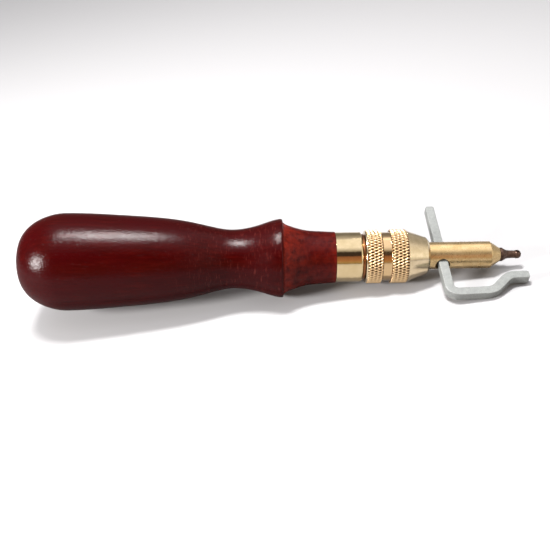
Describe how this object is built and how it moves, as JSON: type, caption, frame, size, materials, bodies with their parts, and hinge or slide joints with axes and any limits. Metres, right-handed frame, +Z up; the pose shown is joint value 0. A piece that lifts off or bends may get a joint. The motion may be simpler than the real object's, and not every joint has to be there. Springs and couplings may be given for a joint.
{
  "type": "adjustable leather edge tool",
  "caption": "Hand tool with a turned wooden handle, brass collet chuck, slim brass shaft, small dark steel bit and a bent steel edge guide that slides beside the bit.",
  "frame": {"origin": "on the bench, under the middle of the box round the tool as it lies at rest", "axes": "+X along the bench from the butt of the handle towards the bit, +Z up, -Y towards the side that the guide arm's hook lies on"},
  "size_m": [0.138, 0.0328, 0.0303],
  "materials": {
    "lacquered_wood": "dark red gloss lacquer over turned wood",
    "polished_brass": "mirror polished",
    "turned_brass": "as turned, fine rings",
    "nut_brass": "polished, knurled bands",
    "shaft_brass": "satin, brushed round",
    "grey_steel": "fine matte plated steel",
    "black_bit_steel": "dark brown-black oxide",
    "black_screw_steel": "black oxide"
  },
  "bodies": {
    "handle_assembly": {"handle": "lacquered_wood", "ferrule": "polished_brass", "chuck_body": "turned_brass"},
    "collet": {"collet": "turned_brass"},
    "nut": {"chuck_nut": "nut_brass"},
    "shaft": {"tool_shaft": "shaft_brass"},
    "guide": {"guide_arm": "grey_steel"},
    "guide_screw": {"guide_lock_screw": "black_screw_steel"},
    "bit": {"bit": "black_bit_steel"},
    "bit_screw": {"bit_lock_screw": "black_screw_steel"}
  },
  "joints": [
    {"name": "collet_release", "type": "slide", "parent": "handle_assembly", "child": "collet", "axis": [0.9949, 0, -0.101], "range_m": [0, 0.002]},
    {"name": "nut_turn", "type": "hinge", "parent": "collet", "child": "nut", "pos_m": [0.03441, -0.00152, 0.00757], "axis": [0.9949, 0, -0.101], "range_deg": [0, 720]},
    {"name": "shaft_slide", "type": "slide", "parent": "handle_assembly", "child": "shaft", "axis": [0.9949, 0, -0.101], "range_m": [0, 0.026]},
    {"name": "guide_slide", "type": "slide", "parent": "shaft", "child": "guide", "axis": [0.0037, -0.9615, -0.2749], "range_m": [-0.0051, 0.0135]},
    {"name": "guide_screw_turn", "type": "hinge", "parent": "shaft", "child": "guide_screw", "pos_m": [0.04188, -0.00152, 0.00682], "axis": [-0.9949, 0, 0.101], "range_deg": [0, 720]},
    {"name": "bit_slide", "type": "slide", "parent": "shaft", "child": "bit", "axis": [0.9949, 0, -0.101], "range_m": [0, 0.009]},
    {"name": "bit_screw_turn", "type": "hinge", "parent": "shaft", "child": "bit_screw", "pos_m": [0.05656, -0.00084, 0.00291], "axis": [-0.0972, 0.2733, -0.957], "range_deg": [0, 360]}
  ],
  "couplings": [
    {"joint": "collet_release", "follows": "nut_turn", "m_per_rad": 0.00015915}
  ]
}
